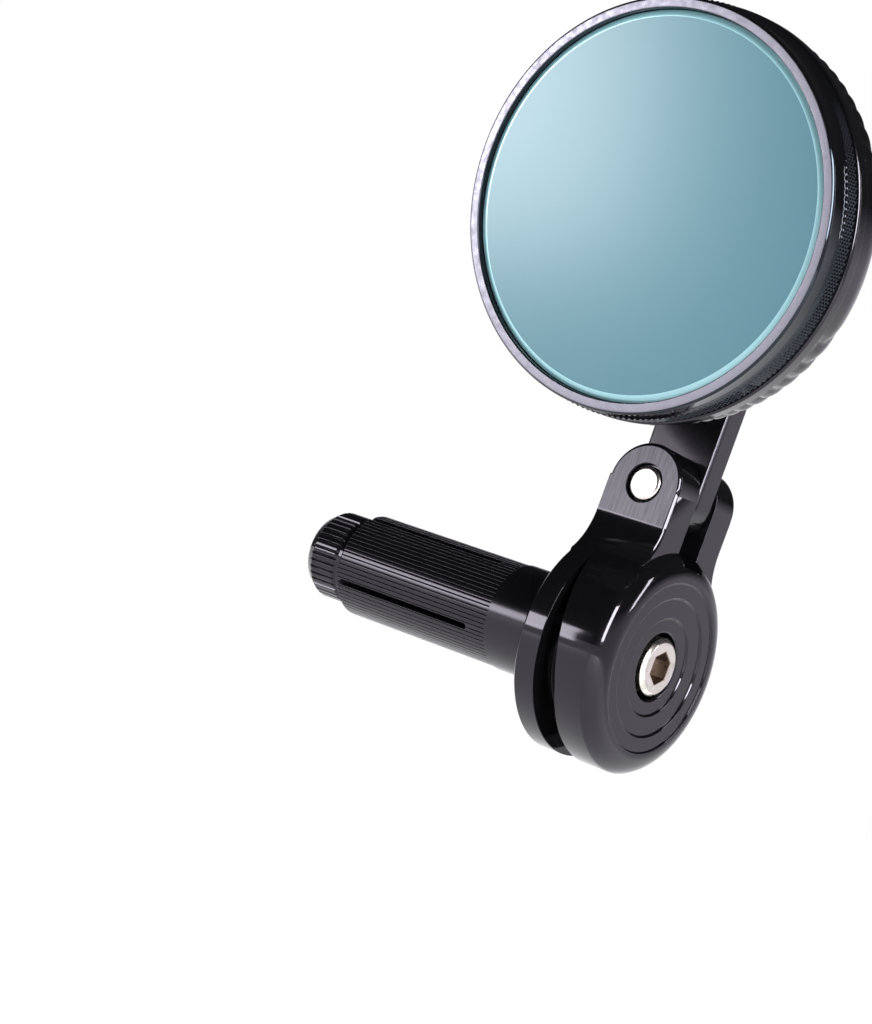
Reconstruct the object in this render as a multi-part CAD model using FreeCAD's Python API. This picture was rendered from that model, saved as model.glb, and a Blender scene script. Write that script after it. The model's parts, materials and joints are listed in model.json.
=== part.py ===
"""Round bar-end mirror: an expanding handlebar plug, a forked arm base, a folding arm with a
ball stud, and a glass head that tilts on the ball.

Frame, in millimetres: the origin is on the plug's axis, where the end of the handlebar butts
on the arm base. +X points out of the handlebar, +Z runs up the arm and the glass faces -Y,
turned down a little. One STEP file is written per piece.
"""
import FreeCAD, Part
import math
import os

Vector = FreeCAD.Vector

# Handlebar plug, along -X
SLEEVE_R = 9.4              # for a 22.2 mm handlebar with a 19 mm bore
SLEEVE_LENGTH = 48.0
SLEEVE_NECK_R = 8.9         # the short end that sits in the arm base's recess
SLEEVE_BOLT_HOLE_R = 3.3
SLEEVE_CORE_R = 5.4
SHOULDER_LENGTH = 13.8      # smooth length beside the arm base, with no splines
SPLINE_R = 9.2              # a little slimmer than the shoulder
SPLINE_COUNT = 72
SPLINE_DEPTH = 0.3
SPLINE_WIDTH = 0.18
SLIT_WIDTH = 1.1
SLIT_END_X = -18.5
SLIT_FIRST_ANGLE = 30.0     # from +Z towards -Y
SLIT_COUNT = 4
SLEEVE_NOSE_CHAMFER = 0.7
SLEEVE_NOSE_FLARE = 0.9
CONE_LENGTH = 9.0
CONE_R = 7.6
WEDGE_RIM_R = 7.9
WEDGE_END_R = 6.8
WEDGE_RIM_START_X = -49.4
WEDGE_END_X = -56.6
WEDGE_TEETH = 40
WEDGE_TOOTH_DEPTH = 0.35
WEDGE_TOOTH_GAP = 0.5
WEDGE_END_CHAMFER = 1.8
WEDGE_TIP_SHORT = 0.8       # the cone stops this far short of its seat's bottom
CONE_GAP = 0.05
FACE_GAP = 0.02             # between flat faces that turn on each other

# M6 socket head bolt, 65 mm long, with its washers
BOLT_R = 3.0
BOLT_LENGTH = 65.0
BOLT_HEAD_R = 5.0
BOLT_HEAD_HEIGHT = 6.0
BOLT_HEX_ACROSS_FLATS = 5.0
BOLT_HEX_DEPTH = 3.2
BOLT_CHAMFER = 0.6
THREAD_CLEARANCE = 0.05
WASHER_THICKNESS = 1.6
FLAT_WASHER_R = 5.5
LOCK_WASHER_R = 4.95
LOCK_WASHER_SPLIT = 0.8

# Arm base: a round body with a ringed face, and a fork above it
BASE_R = 19.0
BASE_RIM_X = 13.8
BASE_FACE_X = 16.4
BASE_FACE_R = 14.6
FACE_STEP_R = 12.0
FACE_RING_R = 8.5
FACE_STEP_DEPTH = 0.35
FACE_STEP_SLOPE = 0.25
FACE_EDGE_DROP = 0.3
RIM_ROUND_X = 15.75         # a point half way round the rim's rounding
RIM_ROUND_R = 17.3
RECESS_R = 9.5              # round the plug's neck, in the inner face
RECESS_DEPTH = 0.8
COUNTERBORE_R = 5.75
COUNTERBORE_X = 6.9
GROOVE_X = 4.3              # inner wall of the groove behind the rim
GROOVE_OUTER_X = 8.7        # outer wall, straight below GROOVE_STRAIGHT_Z
GROOVE_STRAIGHT_Z = -9.0
GROOVE_BEND_X = 7.0         # a point on the curve by which it runs out towards the fork
GROOVE_BEND_Z = 2.0
GROOVE_TOP_Z = 14.0
GROOVE_HUB_R = 14.0
FORK_HALF_WIDTH = 9.8
FORK_FLAT_Z = 21.6          # the fork's flat sides end here and flare down to the round body
SLOT_HALF = 3.1
SLOT_FLOOR_Z = 17.0
EDGE = 0.5                  # chamfer on machined edges

# Fold pivot, along Y
PIVOT_X = 6.9
PIVOT_Z = 27.7
PIVOT_R = 3.0
PIN_END_RING = 0.35
PIN_RING_DEPTH = 1.2
PIN_ROUNDING = 0.7
PIN_HEX_DEPTH = 2.2
PIN_INSET = 0.1
PIN_HEX_ACROSS_FLATS = 3.0
BUSH_R = 4.2
RUNNING_CLEARANCE = 0.04
PIVOT_WASHER_R = 6.0
TONGUE_HALF = 2.6

# Mirror arm
ARM_LENGTH = 42.0
ARM_HALF_WIDTH = 6.6
ARM_BACK_Y = 3.4
ARM_CHAMFER = 1.7
BOSS_FACE_Y = -5.0
ARM_STEP_FROM_PIVOT = 10.6  # the arm is thicker beyond the fork
BOSS_CHAMFER = 0.3
STUD_HOLE_END_Y = 2.4

# Ball stud, along -Y from the arm's boss
STUD_THREAD_R = 3.0
STUD_THREAD_END_Y = 2.2
HEX_ACROSS_FLATS = 10.0
HEX_HEIGHT = 2.4
STUD_CONE_HEIGHT = 2.0
NECK_R = 3.2
BALL_R = 6.0
BALL_Y = -20.0

# Ball joint, about the ball's centre
SEAT_GAP = 0.12
SEAT_OUTER_R = 7.2
POCKET_R = 7.35
SOCKET_BORE_R = 8.6
SOCKET_BORE_START = 0.9
MOUTH_FLARE = 0.9
SOCKET_BOSS_R = 13.0
CUP_R = 8.5
CUP_BOTTOM = 1.6
CUP_TOP = 8.4
CUP_BALL_GAP = 0.03
SPRING_HEIGHT = 0.9
SPRING_WALL = 0.5
SPRING_HOLE_R = 4.0
BOSS_TOP = 9.3
PLATE_THICKNESS = 1.6
PLATE_R = 12.8
SCREW_CIRCLE_R = 10.8
SCREW_COUNT = 3
SCREW_R = 1.0
SCREW_HEAD_R = 1.9
SCREW_LENGTH = 6.0
SCREW_HEX_ACROSS_FLATS = 1.3
SCREW_HEX_DEPTH = 0.9
PLATE_HOLE_R = 3.0

# Head, measured back from the front of the bezel
BALL_DEPTH = 19.1
BEZEL_R = 32.9
BEZEL_LIP = 3.0
BEZEL_CHAMFER = 0.4
KNURL_R = 33.5
BEZEL_DEPTH = 7.2
BEZEL_BORE_R = 31.0
THREAD_R = 32.1
BAND_R = 33.7
BAND_END = 9.9
BAND_EDGE = 0.3
DOME_EDGE_R = 33.2
DOME_DEPTH = 24.8
CROWN_R = 87.0
DOME_CORNER_R = 8.0
HOUSING_WALL = 2.4
HOUSING_BORE_R = 29.9
MOUTH_ANGLE = 53.0          # from the stud's side of the ball
GLASS_R = 30.9
GLASS_BEVEL = 1.1
GLASS_BEVEL_DROP = 0.5
GLASS_FRONT = 0.7
GLASS_THICKNESS = 1.8
PAD_R = 29.5
CARRIER_FRONT = 3.2
CARRIER_THICKNESS = 1.0
GASKET_THICKNESS = 0.6

# How the head is turned at rest
REST_TILT = 10.0            # glass turned down, about +X
REST_YAW = 1.5              # glass turned out, about the head's upright axis

X_AXIS = Vector(1, 0, 0)
Y_AXIS = Vector(0, 1, 0)
Z_AXIS = Vector(0, 0, 1)
BALL_CENTRE = Vector(PIVOT_X, BALL_Y, PIVOT_Z + ARM_LENGTH)


def cylinder(radius, start, end, axis):
    """A round bar from one point to another along a row axis."""
    return Part.makeCylinder(radius, (end - start).Length, start, axis)


def along_x(radius, start_x, end_x):
    """A round bar on the plug's axis."""
    return cylinder(radius, Vector(start_x, 0, 0), Vector(end_x, 0, 0), X_AXIS)


def along_y(radius, x, z, start_y, end_y):
    """A round bar parallel to Y."""
    return cylinder(radius, Vector(x, start_y, z), Vector(x, end_y, z), Y_AXIS)


def face_of(edges):
    """A flat face bounded by edges given in order."""
    return Part.Face(Part.Wire(edges))


def polyline(points, closed=True):
    """Straight edges through points, back to the first if closed."""
    ends = points[1:] + points[:1] if closed else points[1:]
    return [Part.LineSegment(a, b).toShape() for a, b in zip(points, ends)]


def turned(points, axis):
    """A solid of revolution from (along, radius) points; axis is X_AXIS or Z_AXIS."""
    if axis == X_AXIS:
        outline = [Vector(a, r, 0) for a, r in points]
    else:
        outline = [Vector(r, 0, a) for a, r in points]
    return face_of(polyline(outline)).revolve(Vector(0, 0, 0), axis, 360)


def hexagon(across_flats, base, direction, height, turn=0.0):
    """A six-sided prism standing on base along direction."""
    corner = across_flats / math.sqrt(3)
    angles = [math.radians(60 * i + turn) for i in range(6)]
    corners = [Vector(corner * math.cos(a), corner * math.sin(a), 0) for a in angles]
    prism = face_of(polyline(corners)).extrude(Vector(0, 0, height))
    prism.Placement = FreeCAD.Placement(base, FreeCAD.Rotation(Z_AXIS, direction))
    return prism


def around_x(shape, angle):
    """A copy turned about the plug's axis."""
    copy = shape.copy()
    copy.rotate(Vector(0, 0, 0), X_AXIS, angle)
    return copy


def toothed_bar(radius, depth, width, count, start_x, end_x):
    """A round bar with narrow straight grooves along it."""
    edges = []
    half = width / 2 / radius
    step = 2 * math.pi / count

    def at(r, angle):
        return Vector(start_x, r * math.cos(angle), r * math.sin(angle))

    for i in range(count):
        left = i * step + half
        right = (i + 1) * step - half
        bottom = (i + 1) * step
        middle = (left + right) / 2
        edges.append(Part.Arc(at(radius, left), at(radius, middle), at(radius, right)).toShape())
        edges += polyline([at(radius, right), at(radius - depth, bottom),
                           at(radius, bottom + half)], False)
    return face_of(edges).extrude(Vector(end_x - start_x, 0, 0))


def on_head(shape):
    """Places a piece built about the ball, with +Z towards the glass, onto the turned head."""
    tilt = FreeCAD.Rotation(X_AXIS, 90 + REST_TILT)
    upright = tilt.multVec(Y_AXIS)
    shape.Placement = FreeCAD.Placement(BALL_CENTRE, FreeCAD.Rotation(upright, REST_YAW).multiply(tilt))
    return shape


def depth(back):
    """Height above the ball's centre of a level measured back from the bezel's front."""
    return BALL_DEPTH - back


def sphere_ring(inner_r, outer_r, first_angle, last_angle):
    """A ring cut from a spherical shell, between two angles measured from the stud's side."""
    def at(r, angle):
        a = math.radians(angle)
        return Vector(r * math.sin(a), 0, -r * math.cos(a))

    middle = (first_angle + last_angle) / 2
    edges = [
        Part.Arc(at(outer_r, first_angle), at(outer_r, middle), at(outer_r, last_angle)).toShape(),
        Part.LineSegment(at(outer_r, last_angle), at(inner_r, last_angle)).toShape(),
        Part.Arc(at(inner_r, last_angle), at(inner_r, middle), at(inner_r, first_angle)).toShape(),
        Part.LineSegment(at(inner_r, first_angle), at(outer_r, first_angle)).toShape(),
    ]
    return face_of(edges).revolve(Vector(0, 0, 0), Z_AXIS, 360)


# ---- handlebar plug

def expander_sleeve():
    """The plug's shell: a smooth shoulder, then splines, with slits that let its nose spread."""
    shoulder = along_x(SLEEVE_R, -SHOULDER_LENGTH, -FACE_GAP)
    neck = along_x(SLEEVE_NECK_R, -SHOULDER_LENGTH, RECESS_DEPTH - FACE_GAP)
    splined = toothed_bar(SPLINE_R, SPLINE_DEPTH, SPLINE_WIDTH, SPLINE_COUNT,
                          -SLEEVE_LENGTH, -SHOULDER_LENGTH)
    sleeve = shoulder.fuse([neck, splined])
    nose = -SLEEVE_LENGTH
    beyond = nose - 1
    mouth = turned([(beyond, 0), (beyond, CONE_R), (nose, CONE_R),
                    (nose + CONE_LENGTH, SLEEVE_CORE_R), (SLIT_END_X, SLEEVE_CORE_R),
                    (SLIT_END_X + 2, SLEEVE_BOLT_HOLE_R), (1, SLEEVE_BOLT_HOLE_R), (1, 0)], X_AXIS)
    sleeve = sleeve.cut(mouth)
    chamfer = SLEEVE_NOSE_CHAMFER
    rounding = turned([(beyond, SLEEVE_R), (beyond, SPLINE_R - chamfer - SLEEVE_NOSE_FLARE),
                       (nose, SPLINE_R - chamfer), (nose + chamfer, SPLINE_R),
                       (nose + chamfer, SLEEVE_R)], X_AXIS)
    sleeve = sleeve.cut(rounding)
    slit = Part.makeBox(SLEEVE_LENGTH + SLIT_END_X + 1, SLIT_WIDTH, SLEEVE_R + 1,
                        Vector(beyond, -SLIT_WIDTH / 2, 0))
    slit = slit.fuse(Part.makeCylinder(SLIT_WIDTH / 2, SLEEVE_R + 1, Vector(SLIT_END_X, 0, 0), Z_AXIS))
    for i in range(SLIT_COUNT):
        sleeve = sleeve.cut(around_x(slit, SLIT_FIRST_ANGLE + 360 * i / SLIT_COUNT))
    return sleeve


def wedge_nut():
    """The cone that the bolt draws into the sleeve, with a toothed rim outside it."""
    wide = CONE_R - CONE_GAP
    tip = -SLEEVE_LENGTH + CONE_LENGTH - WEDGE_TIP_SHORT
    body = turned([(WEDGE_RIM_START_X, 0), (WEDGE_RIM_START_X, wide), (-SLEEVE_LENGTH, wide),
                   (tip, SLEEVE_CORE_R - CONE_GAP), (tip, 0)], X_AXIS)
    rim = toothed_bar(WEDGE_RIM_R, WEDGE_TOOTH_DEPTH, WEDGE_TOOTH_GAP, WEDGE_TEETH,
                      WEDGE_END_X, WEDGE_RIM_START_X)
    envelope = turned([(WEDGE_END_X, 0), (WEDGE_END_X, WEDGE_END_R),
                       (WEDGE_END_X + WEDGE_END_CHAMFER, WEDGE_RIM_R),
                       (WEDGE_RIM_START_X - EDGE, WEDGE_RIM_R),
                       (WEDGE_RIM_START_X, WEDGE_RIM_R - EDGE), (WEDGE_RIM_START_X, 0)], X_AXIS)
    nut = body.fuse(rim.common(envelope))
    return nut.cut(along_x(BOLT_R + THREAD_CLEARANCE, WEDGE_END_X - 1, 0))


def clamp_bolt():
    seat = COUNTERBORE_X + 2 * WASHER_THICKNESS + FACE_GAP
    top = seat + BOLT_HEAD_HEIGHT
    chamfer = BOLT_CHAMFER
    head = turned([(seat, 0), (seat, BOLT_HEAD_R), (top - chamfer, BOLT_HEAD_R),
                   (top, BOLT_HEAD_R - chamfer), (top, 0)], X_AXIS)
    tip = seat - BOLT_LENGTH
    shank = turned([(tip, 0), (tip, BOLT_R - chamfer), (tip + chamfer, BOLT_R),
                    (seat, BOLT_R), (seat, 0)], X_AXIS)
    socket_base = Vector(top - BOLT_HEX_DEPTH, 0, 0)
    socket = hexagon(BOLT_HEX_ACROSS_FLATS, socket_base, X_AXIS, BOLT_HEX_DEPTH + 1)
    return head.fuse(shank).cut(socket)


def bolt_lock_washer():
    start = COUNTERBORE_X + WASHER_THICKNESS + FACE_GAP
    ring = along_x(LOCK_WASHER_R, start, start + WASHER_THICKNESS).cut(along_x(BOLT_R, 0, BASE_FACE_X))
    split = Part.makeBox(WASHER_THICKNESS, LOCK_WASHER_SPLIT, LOCK_WASHER_R,
                         Vector(start, -LOCK_WASHER_SPLIT / 2, 0))
    return ring.cut(split)


def bolt_flat_washer():
    ring = along_x(FLAT_WASHER_R, COUNTERBORE_X, COUNTERBORE_X + WASHER_THICKNESS)
    return ring.cut(along_x(BOLT_R + 0.2, 0, BASE_FACE_X))


# ---- arm base and fold pivot

def base_body():
    """The round body, with its stepped face and counterbore."""
    rounding = [Vector(BASE_RIM_X, BASE_R, 0), Vector(RIM_ROUND_X, RIM_ROUND_R, 0),
                Vector(BASE_FACE_X, BASE_FACE_R, 0)]
    level = BASE_FACE_X - FACE_EDGE_DROP
    outline = [Vector(BASE_FACE_X, BASE_FACE_R, 0), Vector(level, BASE_FACE_R - 0.1, 0)]
    for radius in (FACE_STEP_R, FACE_RING_R):
        below = level - FACE_STEP_DEPTH
        outline += [Vector(level, radius, 0), Vector(below, radius - FACE_STEP_SLOPE, 0)]
        level = below
    drop = FACE_EDGE_DROP
    outline += [Vector(level, COUNTERBORE_R + drop, 0), Vector(level - drop, COUNTERBORE_R, 0),
                Vector(COUNTERBORE_X, COUNTERBORE_R, 0), Vector(COUNTERBORE_X, SLEEVE_BOLT_HOLE_R, 0),
                Vector(0, SLEEVE_BOLT_HOLE_R, 0), Vector(0, BASE_R - EDGE, 0), Vector(EDGE, BASE_R, 0),
                Vector(BASE_RIM_X, BASE_R, 0)]
    edges = [Part.Arc(*rounding).toShape()] + polyline(outline, False)
    return face_of(edges).revolve(Vector(0, 0, 0), X_AXIS, 360)


def fork():
    """The fork's block: flat sides that flare to the round body, with a round top about the pivot."""
    w, z = FORK_HALF_WIDTH, FORK_FLAT_Z
    flare_r = (w * w + z * z - BASE_R ** 2) / (2 * (BASE_R - w))
    centre = Vector(0, w + flare_r, z)
    joint = centre * (BASE_R / centre.Length)
    middle = centre + (Vector(0, w, z) - centre + joint - centre).normalize() * flare_r
    top = PIVOT_Z + PIVOT_X

    def mirrored(v):
        return Vector(v.x, -v.y, v.z)

    edges = [Part.Arc(joint, middle, Vector(0, w, z)).toShape()]
    edges += polyline([Vector(0, w, z), Vector(0, w, top - EDGE), Vector(0, w - EDGE, top),
                       Vector(0, EDGE - w, top), Vector(0, -w, top - EDGE), Vector(0, -w, z)], False)
    edges.append(Part.Arc(Vector(0, -w, z), mirrored(middle), mirrored(joint)).toShape())
    edges += polyline([mirrored(joint), Vector(0, -joint.y, 0), Vector(0, joint.y, 0), joint], False)
    block = face_of(edges).extrude(Vector(BASE_RIM_X, 0, 0))
    # the round top, with a chamfer along its flat sides
    round_top = along_y(PIVOT_X, PIVOT_X, PIVOT_Z, -w, w)
    round_top = round_top.makeChamfer(EDGE, [e for e in round_top.Edges if e.Closed])
    lower = Part.makeBox(BASE_RIM_X, 4 * BASE_R, PIVOT_Z, Vector(0, -2 * BASE_R, 0))
    return block.common(lower.fuse(round_top))


def groove():
    """The groove behind the rim: open all round below, and running out where the fork begins."""
    upper = Vector(GROOVE_X, 0, GROOVE_TOP_Z)
    middle = Vector(GROOVE_BEND_X, 0, GROOVE_BEND_Z)
    lower = Vector(GROOVE_OUTER_X, 0, GROOVE_STRAIGHT_Z)
    below = -BASE_R - 1
    edges = [Part.Arc(upper, middle, lower).toShape()]
    edges += polyline([lower, Vector(GROOVE_OUTER_X, 0, below), Vector(GROOVE_X, 0, below), upper],
                      False)
    cutter = face_of(edges).extrude(Vector(0, 2 * BASE_R + 2, 0))
    cutter.translate(Vector(0, -BASE_R - 1, 0))
    return cutter.cut(along_x(GROOVE_HUB_R, 0, BASE_FACE_X))


def arm_base():
    """The machined block: round body, fork, groove, slot, and the holes for bolt and pin."""
    base = base_body().fuse(fork()).cut(groove())
    base = base.cut(along_x(RECESS_R, -1, RECESS_DEPTH))
    slot = Part.makeBox(BASE_FACE_X + 1, 2 * SLOT_HALF, 40, Vector(-0.5, -SLOT_HALF, SLOT_FLOOR_Z))
    base = base.cut(slot)
    base = base.cut(along_x(SLEEVE_BOLT_HOLE_R, -1, COUNTERBORE_X + 1))
    base = base.cut(along_x(COUNTERBORE_R, COUNTERBORE_X, BASE_FACE_X + 1))
    base = base.cut(along_y(PIVOT_R, PIVOT_X, PIVOT_Z, -FORK_HALF_WIDTH - 1, FORK_HALF_WIDTH + 1))
    for side in (-1, 1):
        outer = side * (FORK_HALF_WIDTH + 1)
        inner = side * (FORK_HALF_WIDTH - PIN_RING_DEPTH)
        ring = along_y(PIVOT_R + PIN_END_RING, PIVOT_X, PIVOT_Z, min(outer, inner), max(outer, inner))
        base = base.cut(ring)
    return base.removeSplitter()


def pivot_pin():
    end = FORK_HALF_WIDTH - PIN_INSET
    pin = along_y(PIVOT_R, PIVOT_X, PIVOT_Z, -end, end)
    pin = pin.makeFillet(PIN_ROUNDING, [e for e in pin.Edges if e.Closed])
    socket_base = Vector(PIVOT_X, end - PIN_HEX_DEPTH, PIVOT_Z)
    socket = hexagon(PIN_HEX_ACROSS_FLATS, socket_base, Y_AXIS, PIN_HEX_DEPTH + 1)
    return pin.cut(socket)


def pivot_washer(side):
    near = side * (TONGUE_HALF + FACE_GAP)
    far = side * SLOT_HALF
    ring = along_y(PIVOT_WASHER_R, PIVOT_X, PIVOT_Z, min(near, far), max(near, far))
    return ring.cut(along_y(PIVOT_R + 0.1, PIVOT_X, PIVOT_Z, -10, 10))


# ---- mirror arm

def arm_outline(half_width, start_z, y):
    """The arm's plan: straight sides and a round end about the stud, from start_z up."""
    top = PIVOT_Z + ARM_LENGTH
    left, right = PIVOT_X - half_width, PIVOT_X + half_width
    edges = polyline([Vector(left, y, top), Vector(left, y, start_z), Vector(right, y, start_z),
                      Vector(right, y, top)], False)
    edges.append(Part.Arc(Vector(right, y, top), Vector(PIVOT_X, y, top + half_width),
                          Vector(left, y, top)).toShape())
    return face_of(edges)


def mirror_arm():
    tongue = arm_outline(ARM_HALF_WIDTH, PIVOT_Z, -TONGUE_HALF).extrude(Vector(0, 2 * TONGUE_HALF, 0))
    tongue = tongue.fuse(along_y(ARM_HALF_WIDTH, PIVOT_X, PIVOT_Z, -TONGUE_HALF, TONGUE_HALF))
    step_z = PIVOT_Z + ARM_STEP_FROM_PIVOT
    # the thicker back narrows by a chamfer on every edge but the one at the fork
    straight = ARM_BACK_Y - ARM_CHAMFER
    back = arm_outline(ARM_HALF_WIDTH, step_z, 0).extrude(Vector(0, straight, 0))
    wide = arm_outline(ARM_HALF_WIDTH, step_z, straight).OuterWire
    narrow = arm_outline(ARM_HALF_WIDTH - ARM_CHAMFER, step_z + ARM_CHAMFER, ARM_BACK_Y).OuterWire
    chamfer = Part.makeLoft([wide, narrow], True, True)
    boss = along_y(ARM_HALF_WIDTH, PIVOT_X, PIVOT_Z + ARM_LENGTH, BOSS_FACE_Y, 0)
    front_edge = [e for e in boss.Edges if e.Closed and abs(e.CenterOfMass.y - BOSS_FACE_Y) < 0.01]
    boss = boss.makeChamfer(BOSS_CHAMFER, front_edge)
    arm = tongue.fuse([back, chamfer, boss]).removeSplitter()
    arm = arm.cut(along_y(BUSH_R, PIVOT_X, PIVOT_Z, -10, 10))
    return arm.cut(along_y(STUD_THREAD_R, PIVOT_X, PIVOT_Z + ARM_LENGTH,
                           BOSS_FACE_Y - 1, STUD_HOLE_END_Y))


def pivot_bush():
    bush = along_y(BUSH_R, PIVOT_X, PIVOT_Z, -TONGUE_HALF, TONGUE_HALF)
    return bush.cut(along_y(PIVOT_R + RUNNING_CLEARANCE, PIVOT_X, PIVOT_Z, -10, 10))


def ball_stud():
    z = BALL_CENTRE.z
    shank = along_y(STUD_THREAD_R, PIVOT_X, z, BOSS_FACE_Y, STUD_THREAD_END_Y)
    hex_base = Vector(PIVOT_X, BOSS_FACE_Y, z)
    toward_head = Vector(0, -1, 0)
    nut = hexagon(HEX_ACROSS_FLATS, hex_base, toward_head, HEX_HEIGHT + STUD_CONE_HEIGHT, 30)
    corner = HEX_ACROSS_FLATS / math.sqrt(3)
    widest = corner + 0.02
    cone = turned([(0, 0), (0, corner - 0.35), (0.3, widest), (HEX_HEIGHT - 0.2, widest),
                   (HEX_HEIGHT + STUD_CONE_HEIGHT, NECK_R), (HEX_HEIGHT + STUD_CONE_HEIGHT, 0)], Z_AXIS)
    cone.Placement = FreeCAD.Placement(hex_base, FreeCAD.Rotation(Z_AXIS, toward_head))
    neck = along_y(NECK_R, PIVOT_X, z, BALL_Y, BOSS_FACE_Y - HEX_HEIGHT - STUD_CONE_HEIGHT)
    ball = Part.makeSphere(BALL_R, BALL_CENTRE)
    return shank.fuse([nut.common(cone), neck, ball]).removeSplitter()


# ---- ball joint in the head

def ball_seat_front():
    return on_head(sphere_ring(BALL_R + SEAT_GAP, SEAT_OUTER_R, 57, 84))


def ball_seat_rear():
    return on_head(sphere_ring(BALL_R + SEAT_GAP, SEAT_OUTER_R, 104, 158))


def pressure_cup():
    cup = Part.makeCylinder(CUP_R, CUP_TOP - CUP_BOTTOM, Vector(0, 0, CUP_BOTTOM))
    return on_head(cup.cut(Part.makeSphere(SEAT_OUTER_R + CUP_BALL_GAP)))


def disc_spring():
    """A shallow cone washer, pressed nearly flat."""
    low, high = CUP_TOP, CUP_TOP + SPRING_HEIGHT
    rim, hole = CUP_R - 0.1, SPRING_HOLE_R
    return on_head(turned([(low, rim), (high - SPRING_WALL, hole), (high, hole),
                           (low + SPRING_WALL, rim)], Z_AXIS))


def screw_places():
    """Centres of the retainer's screws, on their circle."""
    angles = [math.radians(90 + 360 * i / SCREW_COUNT) for i in range(SCREW_COUNT)]
    return [Vector(SCREW_CIRCLE_R * math.cos(a), SCREW_CIRCLE_R * math.sin(a), 0) for a in angles]


def screw_at(place):
    """A countersunk screw through the retainer plate."""
    top = BOSS_TOP + PLATE_THICKNESS
    head_height = SCREW_HEAD_R - SCREW_R
    screw = Part.makeCylinder(SCREW_R, SCREW_LENGTH, place + Vector(0, 0, top - SCREW_LENGTH))
    head = Part.makeCone(SCREW_R, SCREW_HEAD_R, head_height, place + Vector(0, 0, top - head_height))
    return screw.fuse(head)


def retainer_plate():
    plate = Part.makeCylinder(PLATE_R, PLATE_THICKNESS, Vector(0, 0, BOSS_TOP))
    plate = plate.cut(Part.makeCylinder(PLATE_HOLE_R, BOSS_TOP + PLATE_THICKNESS))
    for place in screw_places():
        plate = plate.cut(screw_at(place))
    return on_head(plate)


def retainer_screws():
    screws = []
    for place in screw_places():
        base = place + Vector(0, 0, BOSS_TOP + PLATE_THICKNESS - SCREW_HEX_DEPTH)
        socket = hexagon(SCREW_HEX_ACROSS_FLATS, base, Z_AXIS, SCREW_HEX_DEPTH + 1)
        screws.append(screw_at(place).cut(socket))
    return on_head(Part.makeCompound(screws))


# ---- head shell and glass

def dome_arcs(inset, side_r, inner_r):
    """Arcs of the domed back moved in by inset: the crown from inner_r outwards, then the corner."""
    corner_r = DOME_CORNER_R - inset
    crown_r = CROWN_R - inset
    crown_centre = depth(DOME_DEPTH) + CROWN_R
    across = side_r - corner_r
    slope = across / (crown_r - corner_r)
    corner = Vector(across, 0, crown_centre - (crown_r - corner_r) * math.sqrt(1 - slope ** 2))

    def on_crown(r):
        return Vector(r, 0, crown_centre - math.sqrt(crown_r ** 2 - r ** 2))

    meet = on_crown(crown_r * slope)
    half_way = (Vector(1, 0, 0) + Vector(slope, 0, -math.sqrt(1 - slope ** 2))).normalize()
    side = Vector(side_r, 0, corner.z)
    return on_crown(inner_r), on_crown((inner_r + meet.x) / 2), meet, corner + half_way * corner_r, side


def on_pocket(angle):
    """A point of the socket's spherical pocket, at an angle from the stud's side."""
    a = math.radians(angle)
    return Vector(POCKET_R * math.sin(a), 0, -POCKET_R * math.cos(a))


def rear_housing():
    """One turned shell: domed back, smooth band, threaded spigot, and the socket's boss inside."""
    spigot_front = CARRIER_FRONT + CARRIER_THICKNESS + GASKET_THICKNESS
    pocket_top = math.degrees(math.acos(-SOCKET_BORE_START / POCKET_R))
    pocket = [on_pocket(a) for a in (pocket_top, (pocket_top + MOUTH_ANGLE) / 2, MOUTH_ANGLE)]
    outer = dome_arcs(0, DOME_EDGE_R, pocket[2].x + MOUTH_FLARE)
    inner = dome_arcs(HOUSING_WALL, HOUSING_BORE_R, SOCKET_BOSS_R)

    def level(radius, back):
        return Vector(radius, 0, depth(back))

    edge = BAND_EDGE
    edges = [Part.Arc(*outer[:3]).toShape(), Part.Arc(*outer[2:]).toShape()]
    edges += polyline([outer[4], level(DOME_EDGE_R, BAND_END), level(BAND_R - edge, BAND_END),
                       level(BAND_R, BAND_END - edge), level(BAND_R, BEZEL_DEPTH + edge),
                       level(BAND_R - edge, BEZEL_DEPTH), level(THREAD_R, BEZEL_DEPTH),
                       level(THREAD_R, spigot_front), level(HOUSING_BORE_R, spigot_front),
                       inner[4]], False)
    edges += [Part.Arc(*reversed(inner[2:])).toShape(), Part.Arc(*reversed(inner[:3])).toShape()]
    edges += polyline([inner[0], Vector(SOCKET_BOSS_R, 0, BOSS_TOP), Vector(SOCKET_BORE_R, 0, BOSS_TOP),
                       Vector(SOCKET_BORE_R, 0, SOCKET_BORE_START), pocket[0]], False)
    edges.append(Part.Arc(*pocket).toShape())
    edges += polyline([pocket[2], outer[0]], False)
    shell = face_of(edges).revolve(Vector(0, 0, 0), Z_AXIS, 360)
    for place in screw_places():
        shell = shell.cut(screw_at(place))
    return on_head(shell)


def bezel_ring():
    """The knurled ring that screws over the housing and holds the glass in."""
    break_edge = 0.3
    mouth = 0.2
    return on_head(turned([
        (depth(0), BEZEL_BORE_R + mouth), (depth(0), BEZEL_R - BEZEL_CHAMFER),
        (depth(BEZEL_CHAMFER), BEZEL_R), (depth(BEZEL_LIP), BEZEL_R),
        (depth(BEZEL_LIP + break_edge), KNURL_R), (depth(BEZEL_DEPTH - break_edge), KNURL_R),
        (depth(BEZEL_DEPTH), KNURL_R - break_edge), (depth(BEZEL_DEPTH), THREAD_R),
        (depth(CARRIER_FRONT), THREAD_R), (depth(CARRIER_FRONT), BEZEL_BORE_R),
        (depth(mouth), BEZEL_BORE_R)], Z_AXIS))


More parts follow.
